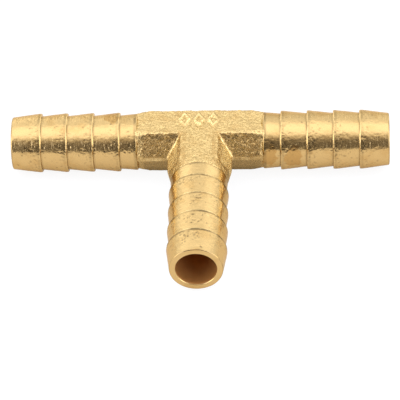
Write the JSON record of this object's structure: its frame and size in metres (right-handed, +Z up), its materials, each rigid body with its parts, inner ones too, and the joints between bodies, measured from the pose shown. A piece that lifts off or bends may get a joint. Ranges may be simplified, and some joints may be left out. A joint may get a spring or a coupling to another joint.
{
  "type": "barbed tee connector",
  "caption": "Brass barbed tee connector that joins soft hoses of one size, with a forged tee body, turned barbed hose tails and a bore along each arm.",
  "frame": {"origin": "middle of the base of the bounding box: the tee lies flat on its barbs, Z = 0 is the surface that the barbs rest on, and the axes of the run and the branch cross at X 0, Y 11.925 mm, Z 4.45 mm", "axes": "+X along the through run towards the right-hand hose tail, -Y along the branch towards its open end, +Z up, square to the plane of the tee"},
  "size_m": [0.0568, 0.0328, 0.0089],
  "materials": {
    "forged_brass": "hot-forged and tumbled brass with a fine grainy skin, left as forged",
    "turned_brass": "turned and tumbled brass, satin, with faint turning marks and small dents"
  },
  "bodies": {
    "root": {"forged_body": "forged_brass", "left_hose_tail": "turned_brass", "right_hose_tail": "turned_brass", "branch_hose_tail": "turned_brass"}
  },
  "joints": []
}
